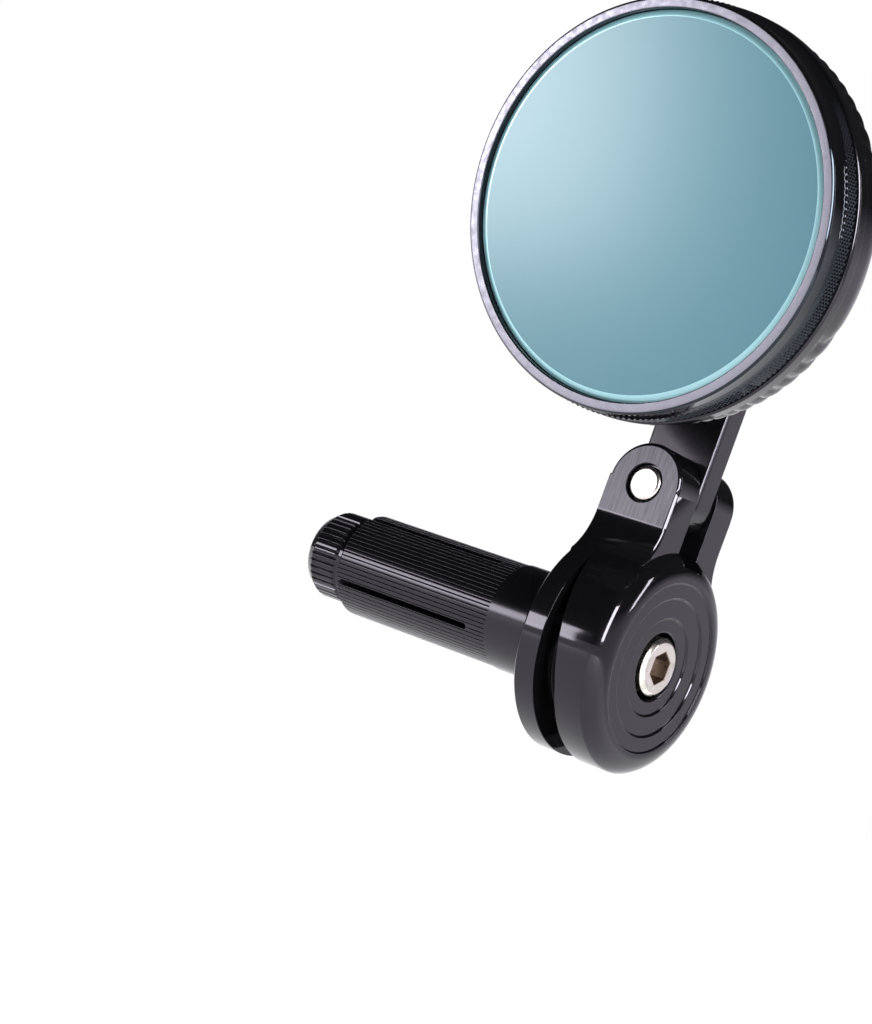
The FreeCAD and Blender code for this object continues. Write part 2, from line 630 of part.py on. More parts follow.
def mirror_glass():
    front = depth(GLASS_FRONT)
    back = depth(GLASS_FRONT + GLASS_THICKNESS)
    return on_head(turned([(front, 0), (front, GLASS_R - GLASS_BEVEL),
                           (front - GLASS_BEVEL_DROP, GLASS_R), (back, GLASS_R), (back, 0)], Z_AXIS))


def glass_pad():
    front = GLASS_FRONT + GLASS_THICKNESS
    return on_head(Part.makeCylinder(PAD_R, CARRIER_FRONT - front, Vector(0, 0, depth(CARRIER_FRONT))))


def glass_carrier():
    back = CARRIER_FRONT + CARRIER_THICKNESS
    return on_head(Part.makeCylinder(THREAD_R - 0.1, CARRIER_THICKNESS, Vector(0, 0, depth(back))))


def housing_gasket():
    back = CARRIER_FRONT + CARRIER_THICKNESS + GASKET_THICKNESS
    ring = Part.makeCylinder(THREAD_R - 0.2, GASKET_THICKNESS, Vector(0, 0, depth(back)))
    return on_head(ring.cut(Part.makeCylinder(HOUSING_BORE_R, 20)))


PIECES = {
    "expander_sleeve": expander_sleeve,
    "wedge_nut": wedge_nut,
    "clamp_bolt": clamp_bolt,
    "bolt_lock_washer": bolt_lock_washer,
    "bolt_flat_washer": bolt_flat_washer,
    "arm_base": arm_base,
    "pivot_pin": pivot_pin,
    "pivot_washer_front": lambda: pivot_washer(-1),
    "pivot_washer_back": lambda: pivot_washer(1),
    "mirror_arm": mirror_arm,
    "pivot_bush": pivot_bush,
    "ball_stud": ball_stud,
    "ball_seat_front": ball_seat_front,
    "ball_seat_rear": ball_seat_rear,
    "pressure_cup": pressure_cup,
    "disc_spring": disc_spring,
    "retainer_plate": retainer_plate,
    "retainer_screws": retainer_screws,
    "rear_housing": rear_housing,
    "bezel_ring": bezel_ring,
    "mirror_glass": mirror_glass,
    "glass_pad": glass_pad,
    "glass_carrier": glass_carrier,
    "housing_gasket": housing_gasket,
}

os.makedirs("parts", exist_ok=True)
for name, build in PIECES.items():
    shape = build()
    assert shape.isValid(), name
    shape.exportStep("parts/" + name + ".step")
    box = shape.BoundBox
    print("%-20s %2d solid %9.1f mm3, %5.1f x %5.1f x %5.1f mm" % (
        name, len(shape.Solids), shape.Volume, box.XLength, box.YLength, box.ZLength))
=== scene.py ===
"""Looks of the round bar-end mirror: black anodised arm, knurled and ribbed head, blue glass.

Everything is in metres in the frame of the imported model. Sizes are given in millimetres and
turned to metres by MM. Pieces of the head are built about the ball's centre, with +Z towards
the glass, and then placed by HEAD.
"""
import json
import math

import bmesh
import bpy
from mathutils import Matrix, Vector


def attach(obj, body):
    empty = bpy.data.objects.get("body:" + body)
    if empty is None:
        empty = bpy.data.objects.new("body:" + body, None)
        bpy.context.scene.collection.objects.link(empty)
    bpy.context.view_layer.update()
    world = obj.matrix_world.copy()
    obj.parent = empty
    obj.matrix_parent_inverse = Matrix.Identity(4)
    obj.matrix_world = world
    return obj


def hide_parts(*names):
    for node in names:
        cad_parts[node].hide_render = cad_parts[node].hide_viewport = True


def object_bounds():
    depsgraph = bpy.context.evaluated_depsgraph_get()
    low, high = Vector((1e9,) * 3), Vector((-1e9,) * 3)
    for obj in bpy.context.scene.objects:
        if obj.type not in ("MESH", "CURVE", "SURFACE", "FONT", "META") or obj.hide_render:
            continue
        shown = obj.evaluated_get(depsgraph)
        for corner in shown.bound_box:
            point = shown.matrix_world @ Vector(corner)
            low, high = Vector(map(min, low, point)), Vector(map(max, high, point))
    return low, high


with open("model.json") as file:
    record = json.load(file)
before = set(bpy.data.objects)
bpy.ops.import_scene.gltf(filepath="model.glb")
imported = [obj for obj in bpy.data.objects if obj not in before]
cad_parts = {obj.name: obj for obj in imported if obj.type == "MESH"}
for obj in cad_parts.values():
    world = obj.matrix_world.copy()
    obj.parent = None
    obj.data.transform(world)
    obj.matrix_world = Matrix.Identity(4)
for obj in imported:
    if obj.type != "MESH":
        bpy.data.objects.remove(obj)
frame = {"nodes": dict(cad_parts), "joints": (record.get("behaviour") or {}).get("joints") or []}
cad_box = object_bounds()

MM = 0.001
NODES = frame["nodes"]
JOINTS = {joint["name"]: joint for joint in frame["joints"]}

# Rounding of machined edges
FINE_EDGE = 0.12 * MM
BROAD_EDGE = 0.5 * MM
ROUNDED_FROM = math.radians(28)     # edges turned by more than this are rounded
SHARP_FROM = math.radians(50)       # edges turned by more than this shade as sharp
FLAT_WITHIN = math.radians(0.2)     # faces turned by less than this become one
SAME_POINT = 0.002 * MM
SQUARE_ON = 0.999                   # share of a normal along an axis that it squarely faces

# Head, measured back from the bezel's front
BALL_DEPTH = 19.1
BEZEL_R = 32.9
BEZEL_LIP = 3.0
KNURL_R = 33.5
BEZEL_DEPTH = 7.2
BEZEL_BORE_R = 31.0
THREAD_R = 32.1
CARRIER_FRONT = 3.2
SPIGOT_FRONT = 4.8
HOUSING_BORE_R = 29.9
BAND_R = 33.7
BAND_END = 9.9
DOME_EDGE_R = 33.2
DOME_DEPTH = 24.8
CROWN_R = 87.0
DOME_CORNER_R = 8.0
HOUSING_WALL = 2.4
MOUTH_R = 6.75
POCKET_R = 7.35
MOUTH_ANGLE = 53.0                  # from the stud's side of the ball
SOCKET_BORE_START = 0.9
SOCKET_BORE_R = 8.6
SOCKET_BOSS_R = 13.0
BOSS_TOP = 9.3

# Diamond knurl round the bezel
KNURL_COUNT = 200
KNURL_ROWS = 8
KNURL_DEPTH = 0.3
BAND_CHAMFER = 0.3
CUT_FACE_DEPTH = 0.05               # faces nearer to the front than this are left bright

# Milled ribs across the domed back
RIB_PITCH = 2.0
RIB_DEPTH = 0.42
RIB_LIMIT = 31.2                    # the two end patches beyond this are smooth
RIB_FADE_START = 10.3
RIB_FADE_END = 11.6
RIB_FADE_STEPS = 4
RIB_CUTS = (0.0, 0.12, 0.3, 0.5, 0.7, 0.88)     # shares of a pitch, from the valley
DOME_STEPS = 192

GLASS_R = 30.9
GLASS_BEVEL = 1.1
GLASS_BEVEL_DROP = 0.5
GLASS_FRONT = 0.7
GLASS_THICKNESS = 1.8
GLASS_STEPS = 256

# Arm base
FORK_FLAT_Z = 21.6
FORK_HALF_WIDTH = 9.8
DISC_TOP_Z = 14.0
EAR_INNER_Y = 8.0
PIN_RING_CLEAR = 4.5

# Clamp bolt
BOLT_HEAD_FROM_X = 12.7
SOCKET_HEX_R = 2.95

# Studio
FLOOR_BELOW = 20 * MM               # room left under the swing of the head
FLOOR_REACH = 6.0
LIGHT_AIM = Vector((0.005, -0.01, 0.03))
ROOM_WALL_SIDE = (0.6, 0.8, 0.0)    # where the room's bright wall stands, behind the object

# Sockets of a colour Mix node, whose names are shared by its sockets of other kinds
MIX_SHARE = 0
MIX_FIRST = 6
MIX_SECOND = 7
MIX_RESULT = 2

# Camera
CAMERA_PLACE = Vector((231.7, -366.8, -8.1)) * MM
CAMERA_TOWARD = Vector((-0.592, 0.805, 0.046))
CAMERA_UPRIGHT = Vector((-0.254, -0.241, 0.937))
CAMERA_LENS = 90.2


# ---- colours and nodes

def linear(hex_colour):
    """An sRGB hex colour as linear RGBA."""
    parts = [int(hex_colour[i:i + 2], 16) / 255 for i in (1, 3, 5)]
    return tuple(c / 12.92 if c <= 0.04045 else ((c + 0.055) / 1.055) ** 2.4 for c in parts) + (1.0,)


def shade(hex_colour, amount):
    """A colour made darker, or lighter where the amount is over 1."""
    return [min(1.0, c * amount) for c in linear(hex_colour)[:3]] + [1.0]


def add(tree, kind, inputs=None, **settings):
    """Adds a node: settings are its properties, inputs are values or sockets to link from."""
    node = tree.nodes.new(kind)
    for key, value in settings.items():
        setattr(node, key, value)
    for key, value in (inputs or {}).items():
        if isinstance(value, bpy.types.NodeSocket):
            tree.links.new(value, node.inputs[key])
        else:
            node.inputs[key].default_value = value
    return node


def new_material(name, **sockets):
    """A material with one Principled shader whose sockets are set directly."""
    material = bpy.data.materials.new(name)
    material.use_nodes = True
    tree = material.node_tree
    shader = tree.nodes["Principled BSDF"]
    for key, value in sockets.items():
        shader.inputs[key.replace("_", " ")].default_value = value
    return material, tree, shader


def in_millimetres(tree, place=Matrix()):
    """Object coordinates in millimetres, centred and turned to a piece's own place."""
    inverse = place.inverted()
    here = add(tree, "ShaderNodeTexCoord")
    return add(tree, "ShaderNodeMapping", {
        "Vector": here.outputs["Object"], "Location": inverse.translation / MM,
        "Rotation": inverse.to_euler(), "Scale": (1 / MM, 1 / MM, 1 / MM)}).outputs["Vector"]


def turned_lines(axis, place=Matrix()):
    """Tool lines of turned work: they change with distance from the axis and along it."""
    def lines(tree):
        split = add(tree, "ShaderNodeSeparateXYZ", {"Vector": in_millimetres(tree, place)})
        across = [split.outputs[name] for name in "XYZ" if name != axis]
        flat = add(tree, "ShaderNodeCombineXYZ", {"X": across[0], "Y": across[1]})
        distance = add(tree, "ShaderNodeVectorMath", {0: flat.outputs["Vector"]},
                       operation="LENGTH")
        return add(tree, "ShaderNodeCombineXYZ", {
            "X": distance.outputs["Value"], "Y": split.outputs[axis]}).outputs["Vector"]
    return lines


def drawn_lines(stretch, place=Matrix()):
    """Tool lines of milled or brushed work: one direction is drawn out by its small scale."""
    def lines(tree):
        return add(tree, "ShaderNodeMapping", {
            "Vector": in_millimetres(tree, place), "Scale": stretch}).outputs["Vector"]
    return lines


# ---- materials

BLACK = linear("#08080a")
LILAC = linear("#e6dff0")


def black_anodised(name, lines, per_mm, roughness=0.075, sheen=LILAC):
    """Black anodised aluminium, turned or milled bright before anodising: a black dye sealed in
    a clear oxide, so the eye sees a mirror-dark gloss with a faint lilac cast and tool lines."""
    material, tree, shader = new_material(name, Base_Color=BLACK, IOR=1.46, Specular_Tint=sheen)
    tool = add(tree, "ShaderNodeTexNoise", {"Vector": lines(tree), "Scale": per_mm, "Detail": 2.0})
    handled = add(tree, "ShaderNodeTexNoise", {
        "Vector": in_millimetres(tree), "Scale": 0.16, "Detail": 3.0})
    both = add(tree, "ShaderNodeMath", {0: handled.outputs["Fac"], 1: tool.outputs["Fac"]},
               operation="ADD")
    worn = add(tree, "ShaderNodeMapRange", {
        "Value": both.outputs["Value"], "From Min": 0.7, "From Max": 1.3,
        "To Min": roughness - 0.02, "To Max": roughness + 0.02})
    tree.links.new(worn.outputs["Result"], shader.inputs["Roughness"])
    lift = add(tree, "ShaderNodeBump", {
        "Height": tool.outputs["Fac"], "Distance": 0.0005 * MM})
    tree.links.new(lift.outputs["Normal"], shader.inputs["Normal"])
    return material


def brushed_black(name, stretch):
    """Black anodised aluminium, brushed with belt grit before anodising: matt grey-black, with
    streaks. Real streaks are about 0.05 mm apart; they are drawn at 0.3 mm so that they show."""
    material, tree, shader = new_material(name, IOR=1.5, Specular_Tint=LILAC)
    streaks = add(tree, "ShaderNodeTexNoise", {
        "Vector": drawn_lines(stretch)(tree), "Scale": 3.2, "Detail": 4.0, "Roughness": 0.65})
    wide = add(tree, "ShaderNodeMapRange", {
        "Value": streaks.outputs["Fac"], "From Min": 0.3, "From Max": 0.7})
    colour = add(tree, "ShaderNodeMix", {
        MIX_FIRST: linear("#333237"), MIX_SECOND: linear("#65646b"),
        MIX_SHARE: wide.outputs["Result"]}, data_type="RGBA")
    tree.links.new(colour.outputs[MIX_RESULT], shader.inputs["Base Color"])
    worn = add(tree, "ShaderNodeMapRange", {
        "Value": streaks.outputs["Fac"], "From Min": 0.3, "From Max": 0.7,
        "To Min": 0.28, "To Max": 0.42})
    tree.links.new(worn.outputs["Result"], shader.inputs["Roughness"])
    lift = add(tree, "ShaderNodeBump", {"Height": streaks.outputs["Fac"], "Distance": 0.004 * MM})
    tree.links.new(lift.outputs["Normal"], shader.inputs["Normal"])
    return material


def bare_metal(name, lines, hex_colour, roughness, stained=0.8, line_height=0.003):
    """Turned metal with no coat: bright, with tool lines and faint darker stains."""
    material, tree, shader = new_material(name, Metallic=1.0)
    tool = add(tree, "ShaderNodeTexNoise", {"Vector": lines(tree), "Scale": 5.0, "Detail": 3.0})
    stain = add(tree, "ShaderNodeTexNoise", {
        "Vector": in_millimetres(tree), "Scale": 0.9, "Detail": 5.0})
    spots = add(tree, "ShaderNodeMapRange", {
        "Value": stain.outputs["Fac"], "From Min": 0.42, "From Max": 0.75, "To Max": stained})
    colour = add(tree, "ShaderNodeMix", {
        MIX_FIRST: linear(hex_colour), MIX_SECOND: shade(hex_colour, 0.62),
        MIX_SHARE: spots.outputs["Result"]}, data_type="RGBA")
    tree.links.new(colour.outputs[MIX_RESULT], shader.inputs["Base Color"])
    worn = add(tree, "ShaderNodeMapRange", {
        "Value": stain.outputs["Fac"], "From Min": 0.3, "From Max": 0.7,
        "To Min": roughness * 0.8, "To Max": roughness * 1.3})
    tree.links.new(worn.outputs["Result"], shader.inputs["Roughness"])
    lift = add(tree, "ShaderNodeBump", {
        "Height": tool.outputs["Fac"], "Distance": line_height * MM})
    tree.links.new(lift.outputs["Normal"], shader.inputs["Normal"])
    return material


def blue_glass(place):
    """Float glass with a blue reflecting film behind it: an even blue-green under a clear front
    face, which shows lights as a wide soft glow."""
    material, tree, shader = new_material(
        "blue tinted mirror glass", Metallic=0.35, Roughness=0.36, Coat_Weight=1.0,
        Coat_Roughness=0.2, Coat_IOR=1.45)
    haze = add(tree, "ShaderNodeTexNoise", {
        "Vector": in_millimetres(tree, place), "Scale": 0.02, "Detail": 1.0})
    colour = add(tree, "ShaderNodeMix", {
        MIX_FIRST: linear("#1f5361"), MIX_SECOND: linear("#245967"),
        MIX_SHARE: haze.outputs["Fac"]}, data_type="RGBA")
    tree.links.new(colour.outputs[MIX_RESULT], shader.inputs["Base Color"])
    return material


def ground_glass():
    """The ground and polished bevel of the glass: paler than the film, with a soft shine."""
    material, tree, shader = new_material("ground edge of blue glass", Metallic=0.4,
                                          Roughness=0.3, Coat_Weight=1.0, Coat_Roughness=0.1)
    grain = add(tree, "ShaderNodeTexNoise", {
        "Vector": in_millimetres(tree), "Scale": 4.0, "Detail": 3.0})
    colour = add(tree, "ShaderNodeMix", {
        MIX_FIRST: linear("#6c97a0"), MIX_SECOND: linear("#7da6ae"),
        MIX_SHARE: grain.outputs["Fac"]}, data_type="RGBA")
    tree.links.new(colour.outputs[MIX_RESULT], shader.inputs["Base Color"])
    lift = add(tree, "ShaderNodeBump", {"Height": grain.outputs["Fac"], "Distance": 0.004 * MM})
    tree.links.new(lift.outputs["Normal"], shader.inputs["Normal"])
    return material


def moulded(name, hex_colour, roughness, grain_per_mm, grain_height, ior=1.48):
    """A moulded or cut soft part: even colour with a fine grain."""
    material, tree, shader = new_material(name, IOR=ior)
    grain = add(tree, "ShaderNodeTexNoise", {
        "Vector": in_millimetres(tree), "Scale": grain_per_mm, "Detail": 4.0})
    colour = add(tree, "ShaderNodeMix", {
        MIX_FIRST: linear(hex_colour), MIX_SECOND: shade(hex_colour, 1.25),
        MIX_SHARE: grain.outputs["Fac"]}, data_type="RGBA")
    tree.links.new(colour.outputs[MIX_RESULT], shader.inputs["Base Color"])
    worn = add(tree, "ShaderNodeMapRange", {
        "Value": grain.outputs["Fac"], "From Min": 0.3, "From Max": 0.7,
        "To Min": roughness * 0.85, "To Max": roughness * 1.1})
    tree.links.new(worn.outputs["Result"], shader.inputs["Roughness"])
    lift = add(tree, "ShaderNodeBump", {
        "Height": grain.outputs["Fac"], "Distance": grain_height * MM})
    tree.links.new(lift.outputs["Normal"], shader.inputs["Normal"])
    return material


# ---- mesh work

def new_piece(name, bm, materials, body, slot, replaced):
    """Makes a finished piece from a bmesh, parents it to the body it rides on and hides the CAD node
    that it replaces.
    """
    mesh = bpy.data.meshes.new(name)
    bm.to_mesh(mesh)
    bm.free()
    mesh.set_sharp_from_angle(angle=SHARP_FROM)
    for material in materials:
        mesh.materials.append(material)
    piece = bpy.data.objects.new(name, mesh)
    bpy.context.scene.collection.objects.link(piece)
    weigh = piece.modifiers.new("even shading", "WEIGHTED_NORMAL")
    weigh.keep_sharp = True
    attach(piece, body)
    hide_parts(replaced)
    return piece


def machined_copy(node, edge=FINE_EDGE, broad=None):
    """A merged copy of a CAD node's mesh with its sharp edges rounded; broad picks the edges
    that get a wide flat chamfer first."""
    bm = bmesh.new()
    bm.from_mesh(NODES[node].data)
    bmesh.ops.remove_doubles(bm, verts=bm.verts, dist=SAME_POINT)
    bmesh.ops.dissolve_limit(bm, angle_limit=FLAT_WITHIN, verts=bm.verts, edges=bm.edges)
    if broad:
        wide = [e for e in bm.edges
                if e.is_manifold and e.calc_face_angle() > SHARP_FROM and broad(e)]
        bmesh.ops.bevel(bm, geom=wide, offset=BROAD_EDGE, offset_type="OFFSET", segments=1,
                        profile=0.5, affect="EDGES", clamp_overlap=False, material=-1)
    sharp = [e for e in bm.edges if e.is_manifold and e.calc_face_angle() > ROUNDED_FROM]
    bmesh.ops.bevel(bm, geom=sharp, offset=edge, offset_type="OFFSET", segments=2,
                    profile=0.5, affect="EDGES", clamp_overlap=False, material=-1)
    for face in bm.faces:
        face.smooth = True
        face.material_index = 0
    return bm


def spun(profile, steps):
    """A closed profile of (radius, height, rounding) points, in millimetres, spun about Z."""
    bm = bmesh.new()
    verts = [bm.verts.new((r * MM, 0, z * MM)) for r, z, rounding in profile]
    for a, b in zip(verts, verts[1:] + verts[:1]):
        bm.edges.new((a, b))
    for vert, (r, z, rounding) in zip(verts, profile):
        if rounding:
            bmesh.ops.bevel(bm, geom=[vert], offset=rounding * MM, offset_type="OFFSET",
                            segments=3, profile=0.5, affect="VERTICES", material=-1)
    bmesh.ops.spin(bm, geom=bm.verts[:] + bm.edges[:], cent=(0, 0, 0), axis=(0, 0, 1),
                   angle=2 * math.pi, steps=steps, use_merge=True, use_duplicate=False)
    bmesh.ops.remove_doubles(bm, verts=bm.verts, dist=0.0005 * MM)
    bmesh.ops.recalc_face_normals(bm, faces=bm.faces)
    for face in bm.faces:
        face.smooth = True
    return bm


def arc(centre, radius, start, end, count):
    """Points (radius, height) on an arc, with angles in degrees from the +radius direction."""
    angles = [math.radians(start + (end - start) * i / count) for i in range(count + 1)]
    return [(centre[0] + radius * math.cos(a), centre[1] + radius * math.sin(a)) for a in angles]


def level(back):
    """Height above the ball's centre of a level measured back from the bezel's front."""
    return BALL_DEPTH - back


# ---- the head's place

def head_place():
    """The turned head's axes at rest: +Z towards the glass and +Y upright."""
    toward = Vector(JOINTS["head_spin"]["axis"])
    upright = Vector(JOINTS["head_yaw"]["axis"])
    side = upright.cross(toward)
    turn = Matrix((side, upright, toward)).transposed().to_4x4()
    return Matrix.Translation(JOINTS["head_spin"]["pos_m"]) @ turn


HEAD = head_place()


# ---- head pieces

def knurled_bezel():
    """The ring in front: a plain lip, then a band of diamond knurling cut as real pyramids."""
    first = level(BEZEL_LIP + BAND_CHAMFER)
    last = level(BEZEL_DEPTH - BAND_CHAMFER)
    rows = [first + (last - first) * i / KNURL_ROWS for i in range(KNURL_ROWS + 1)]
    profile = [(BEZEL_BORE_R + 0.2, level(0), 0.08), (BEZEL_R - 0.4, level(0), 0.12),
               (BEZEL_R, level(0.4), 0.12), (BEZEL_R, level(BEZEL_LIP), 0.0)]
    profile += [(KNURL_R, z, 0.0) for z in rows]
    profile += [(KNURL_R - BAND_CHAMFER, level(BEZEL_DEPTH), 0.0),
                (THREAD_R, level(BEZEL_DEPTH), 0.0), (THREAD_R, level(CARRIER_FRONT), 0.0),
                (BEZEL_BORE_R, level(CARRIER_FRONT), 0.0), (BEZEL_BORE_R, level(0.2), 0.0)]
    bm = spun(profile, 2 * KNURL_COUNT)
    pitch = (last - first) / KNURL_ROWS * MM
    valleys = set()
    band = set()
    for vert in bm.verts:
        radius = math.hypot(vert.co.x, vert.co.y)
        if radius < (KNURL_R - 0.01) * MM:
            continue
        band.add(vert)
        column = round(math.atan2(vert.co.y, vert.co.x) / (math.pi / KNURL_COUNT))
        row = round((vert.co.z - first * MM) / pitch)
        if (row + column) % 2:
            valleys.add(vert)
        if (row + column) % 2 or row in (0, -KNURL_ROWS, KNURL_ROWS):
            shrink = 1 - KNURL_DEPTH * MM / radius
            vert.co.x *= shrink
            vert.co.y *= shrink
    for face in [f for f in bm.faces if all(v in band for v in f.verts)]:
        low = [v for v in face.verts if v in valleys]
        if len(low) == 2:
            other = bmesh.utils.face_split(face, low[0], low[1])[0]
            other.smooth = False
        face.smooth = False
    for face in bm.faces:
        if face.calc_center_median().z > level(CUT_FACE_DEPTH) * MM:
            face.material_index = 1
    return bm


def dome_profile(inset, side_r, inner_r, corner_count, crown_count):
    """The domed back's outline from the side wall inwards to inner_r, moved in by inset."""
    corner_r = DOME_CORNER_R - inset
    crown_r = CROWN_R - inset
    crown_centre = level(DOME_DEPTH) + CROWN_R
    across = side_r - corner_r
    slope = across / (crown_r - corner_r)
    corner = (across, crown_centre - (crown_r - corner_r) * math.sqrt(1 - slope ** 2))
    meet = -math.degrees(math.acos(slope))
    inner = -math.degrees(math.acos(inner_r / crown_r))
    points = arc(corner, corner_r, 0, meet, corner_count)
    return points + arc((0, crown_centre), crown_r, meet, inner, crown_count)[1:]


def ribbed_housing():
    """The rear shell: smooth band, ledge, and a dome milled all over with parallel ribs."""
    pocket_top = math.degrees(math.asin(SOCKET_BORE_START / POCKET_R))
    pocket_bottom = MOUTH_ANGLE - 90
    outer = dome_profile(0, DOME_EDGE_R, MOUTH_R, 18, 16)
    inner = dome_profile(HOUSING_WALL, HOUSING_BORE_R, SOCKET_BOSS_R, 5, 4)
    profile = [(r, z, 0.0) for r, z in reversed(inner)]
    profile += [(HOUSING_BORE_R, level(SPIGOT_FRONT), 0.0), (THREAD_R, level(SPIGOT_FRONT), 0.0),
                (THREAD_R, level(BEZEL_DEPTH), 0.0),
                (BAND_R - BAND_CHAMFER, level(BEZEL_DEPTH), 0.05),
                (BAND_R, level(BEZEL_DEPTH + BAND_CHAMFER), 0.12),
                (BAND_R, level(BAND_END - BAND_CHAMFER), 0.12),
                (BAND_R - BAND_CHAMFER, level(BAND_END), 0.05),
                (DOME_EDGE_R, level(BAND_END), 0.0)]
    fade = (RIB_FADE_END - RIB_FADE_START) / RIB_FADE_STEPS
    profile += [(DOME_EDGE_R, level(RIB_FADE_START + fade * i), 0.0)
                for i in range(RIB_FADE_STEPS + 1)]
    profile += [(r, z, 0.0) for r, z in outer]
    profile += [(r, z, 0.0) for r, z in arc((0, 0), POCKET_R, pocket_bottom, pocket_top, 8)]
    profile += [(SOCKET_BORE_R, SOCKET_BORE_START, 0.0), (SOCKET_BORE_R, BOSS_TOP, 0.0),
                (SOCKET_BOSS_R, BOSS_TOP, 0.0)]
    bm = spun(profile, DOME_STEPS)
    mill_ribs(bm)
    return bm


def mill_ribs(bm):
    """Cuts the dome along the ribs' planes, and sinks it between their crests."""
    inside = Vector((0, 0, level(BEZEL_DEPTH) * MM))
    wall_r = (DOME_EDGE_R - 0.1) * MM
    ribs_from = level(RIB_FADE_START) * MM
    geom = set()
    for face in bm.faces:
        centre = face.calc_center_median()
        outward = face.normal.dot(centre - inside) > 0
        on_wall = math.hypot(centre.x, centre.y) > wall_r
        faces_back = face.normal.z < -0.01
        if outward and (on_wall or faces_back) and centre.z < ribs_from:
            geom.update([face, *face.edges, *face.verts])
    geom = list(geom)
    count = int(RIB_LIMIT // RIB_PITCH) + 1
    for rib in range(-count, count):
        for share in RIB_CUTS:
            across = (rib + share) * RIB_PITCH
            if abs(across) < RIB_LIMIT:
                geom = bmesh.ops.bisect_plane(bm, geom=geom, plane_co=(across * MM, 0, 0),
                                              plane_no=(1, 0, 0), dist=0.0002 * MM)["geom"]
    bm.normal_update()
    sunk = []
    for vert in [item for item in geom if isinstance(item, bmesh.types.BMVert)]:
        across, along, up = vert.co / MM
        if abs(across) > RIB_LIMIT:
            continue
        from_ledge = (BALL_DEPTH - up - RIB_FADE_START) / (RIB_FADE_END - RIB_FADE_START)
        from_mouth = math.hypot(across, along) - MOUTH_R
        fade = min(1.0, max(0.0, from_ledge)) * min(1.0, max(0.0, from_mouth))
        valley = 1 - abs(math.sin(math.pi * across / RIB_PITCH))
        sunk.append((vert, vert.normal * (RIB_DEPTH * MM * valley * fade)))
    for vert, inward in sunk:
        vert.co -= inward


def bevelled_glass():
    """The round glass: flat film, and a ground bevel round its front edge."""
    front = level(GLASS_FRONT)
    back = level(GLASS_FRONT + GLASS_THICKNESS)
    bm = bmesh.new()
    bmesh.ops.create_circle(bm, cap_ends=True, segments=GLASS_STEPS, radius=GLASS_R * MM)
    bmesh.ops.translate(bm, verts=bm.verts, vec=(0, 0, back * MM))
    bottom = bm.faces[:]
    side = bmesh.ops.extrude_face_region(bm, geom=bottom)["geom"]
    lifted = [item for item in side if isinstance(item, bmesh.types.BMVert)]
    bmesh.ops.translate(bm, verts=lifted, vec=(0, 0, (front - GLASS_BEVEL_DROP - back) * MM))
    top = [item for item in side if isinstance(item, bmesh.types.BMFace)]
    bmesh.ops.inset_region(bm, faces=top, thickness=GLASS_BEVEL * MM, depth=0)
    top_verts = {v for f in top for v in f.verts}
    bmesh.ops.translate(bm, verts=list(top_verts), vec=(0, 0, GLASS_BEVEL_DROP * MM))
    bmesh.ops.recalc_face_normals(bm, faces=bm.faces)
    for face in bm.faces:
        face.smooth = True
        face.material_index = 0 if face in top else 1
    return bm


def build_head():
    """Bezel ring, rear housing and glass, made about the ball and set at the head's place."""
    anodised = black_anodised("black anodised turned aluminium head",
                              turned_lines("Z", HEAD), 5.0, sheen=linear("#c3d3ea"))
    milled = black_anodised("black anodised milled aluminium dome",
                            drawn_lines((1.0, 0.12, 0.12), HEAD), 6.0, roughness=0.13)
    cut_face = bare_metal("diamond cut aluminium bezel face", turned_lines("Z", HEAD),
                          "#75737e", 0.3, stained=0.15)
    for name, bm, materials, slot, node in (
            ("knurled_bezel", knurled_bezel(), [anodised, cut_face], "black_anodised",
             "bezel_ring"),
            ("ribbed_rear_housing", ribbed_housing(), [milled], "black_anodised", "rear_housing"),
            ("bevelled_mirror_glass", bevelled_glass(), [blue_glass(HEAD), ground_glass()],
             "blue_mirror", "mirror_glass")):
        bmesh.ops.transform(bm, matrix=HEAD, verts=bm.verts)
        new_piece(name, bm, materials, "head", slot, node)


# ---- arm, base and plug

def fork_outline(edge):
    """The fork's front outline, where its flared sides meet its flat face."""
    first, second = [abs(face.normal.x) for face in edge.link_faces]
    middle = (edge.verts[0].co + edge.verts[1].co) / 2
    crossing = max(first, second) > 0.99 and min(first, second) < 0.1
    outside = middle.z > DISC_TOP_Z * MM and abs(middle.y) > EAR_INNER_Y * MM
    pin_x = JOINTS["arm_fold"]["pos_m"][0]
    return crossing and outside and middle.x - pin_x > PIN_RING_CLEAR * MM


def build_base():
    """The turned block under the arm, with the flat sides of its fork brushed."""
    turned = black_anodised("black anodised turned aluminium base", turned_lines("X"), 4.0)
    brushed = brushed_black("black anodised brushed aluminium", (1.0, 1.0, 0.06))
    bm = machined_copy("arm_base", broad=fork_outline)
    for face in bm.faces:
        middle = face.calc_center_median()
        flat = abs(face.normal.y) > SQUARE_ON and abs(middle.y) > (FORK_HALF_WIDTH - 0.05) * MM
        if flat and middle.z > FORK_FLAT_Z * MM:
            face.material_index = 1
    new_piece("forked_arm_base", bm, [turned, brushed], "base", "black_anodised", "arm_base")


def arm_corner(edge):
    """The long corners of the arm's bar."""
    first, second = [face.normal for face in edge.link_faces]
    return max(abs(first.x), abs(second.x)) > 0.9 and max(abs(first.y), abs(second.y)) > 0.9


def build_arm():
    """The folding bar and the stud that carries the head."""
    milled = black_anodised("black anodised milled aluminium arm",
                            drawn_lines((1.0, 1.0, 0.05)), 5.0, roughness=0.17)
    new_piece("folding_mirror_arm", machined_copy("mirror_arm", broad=arm_corner), [milled], "arm",
              "black_anodised", "mirror_arm")
    stud = bare_metal("turned stainless steel stud", turned_lines("Y"), "#b9b3ae", 0.27)
    new_piece("ball_stud_with_hex", machined_copy("ball_stud"), [stud], "arm", "steel", "ball_stud")


